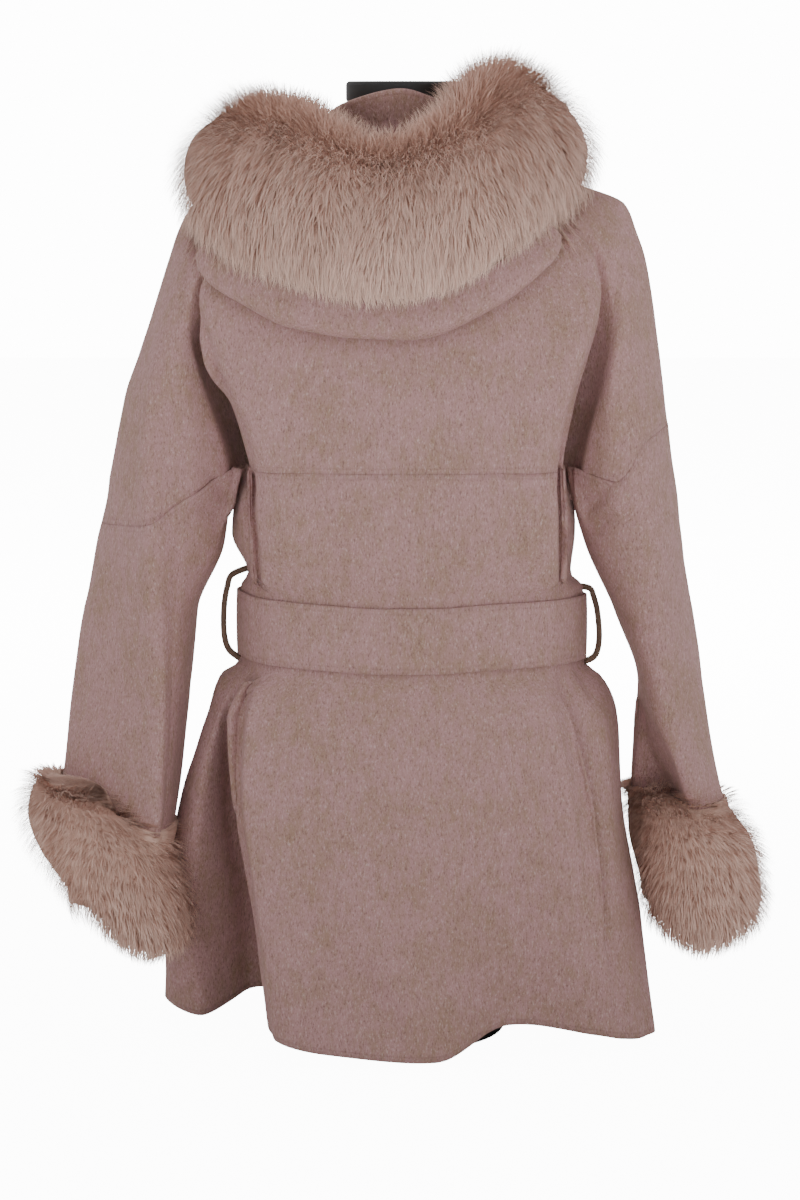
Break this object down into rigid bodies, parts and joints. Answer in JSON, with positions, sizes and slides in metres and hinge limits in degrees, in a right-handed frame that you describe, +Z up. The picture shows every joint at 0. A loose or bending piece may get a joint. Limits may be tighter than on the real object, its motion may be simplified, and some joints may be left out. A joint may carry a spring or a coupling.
{
  "type": "wool coat on dress form",
  "caption": "Short belted wool wrap coat with fur-trimmed hood and cuffs, filled out on a countertop dress form.",
  "frame": {"origin": "on the floor, in the middle of the underside of the dress form's base", "axes": "+Z up, -Y to the coat's back, +Y to its front, +X to the wearer's right"},
  "size_m": [0.758, 0.3452, 0.9666],
  "materials": {
    "wool": "brushed double-faced wool melange",
    "loop_wool": "dark wool braid",
    "fur": "long soft fur",
    "form_shell": "black flocked jersey over a moulded shell",
    "form_metal": "black powder coat"
  },
  "bodies": {
    "root": {"back": "wool", "front_right": "wool", "front_left": "wool", "back_yoke": "wool", "front_yoke_right": "wool", "front_yoke_left": "wool", "sleeve_left": "wool", "sleeve_right": "wool", "belt": "wool", "belt_knot": "wool", "belt_end_left": "wool", "belt_end_right": "wool", "belt_loop_left": "loop_wool", "belt_loop_right": "loop_wool", "hood": "wool", "neck_stand": "wool", "fur_collar": "fur", "fur_cuff_left": "fur", "fur_cuff_right": "fur", "form_torso": "form_shell", "form_neck_cap": "form_shell", "form_stem": "form_metal", "form_base": "form_metal"}
  },
  "joints": []
}
